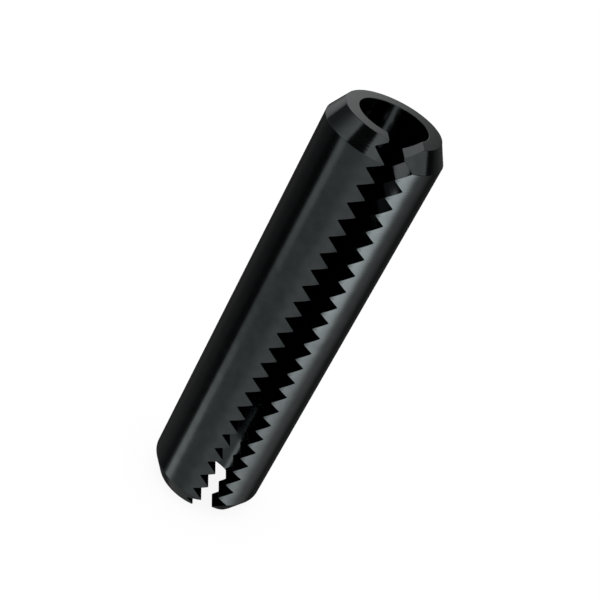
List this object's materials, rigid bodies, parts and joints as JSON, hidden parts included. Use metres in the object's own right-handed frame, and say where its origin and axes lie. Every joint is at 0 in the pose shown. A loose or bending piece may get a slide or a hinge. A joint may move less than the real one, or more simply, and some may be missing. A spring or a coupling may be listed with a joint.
{
  "type": "spring pin",
  "caption": "Slotted spring pin: a heavy spring-steel tube with a toothed lengthways slot and a tapered lead-in at each end, pressed into a hole to hold or locate parts.",
  "frame": {"origin": "on the pin's axis, at the end face it stands on", "axes": "+Z along the pin's axis to the other end face; the slot faces -Y"},
  "size_m": [0.0128, 0.0127, 0.0495],
  "materials": {
    "blackened_spring_steel": "black oxide, satin"
  },
  "bodies": {
    "root": {"spring_pin": "blackened_spring_steel"}
  },
  "joints": []
}
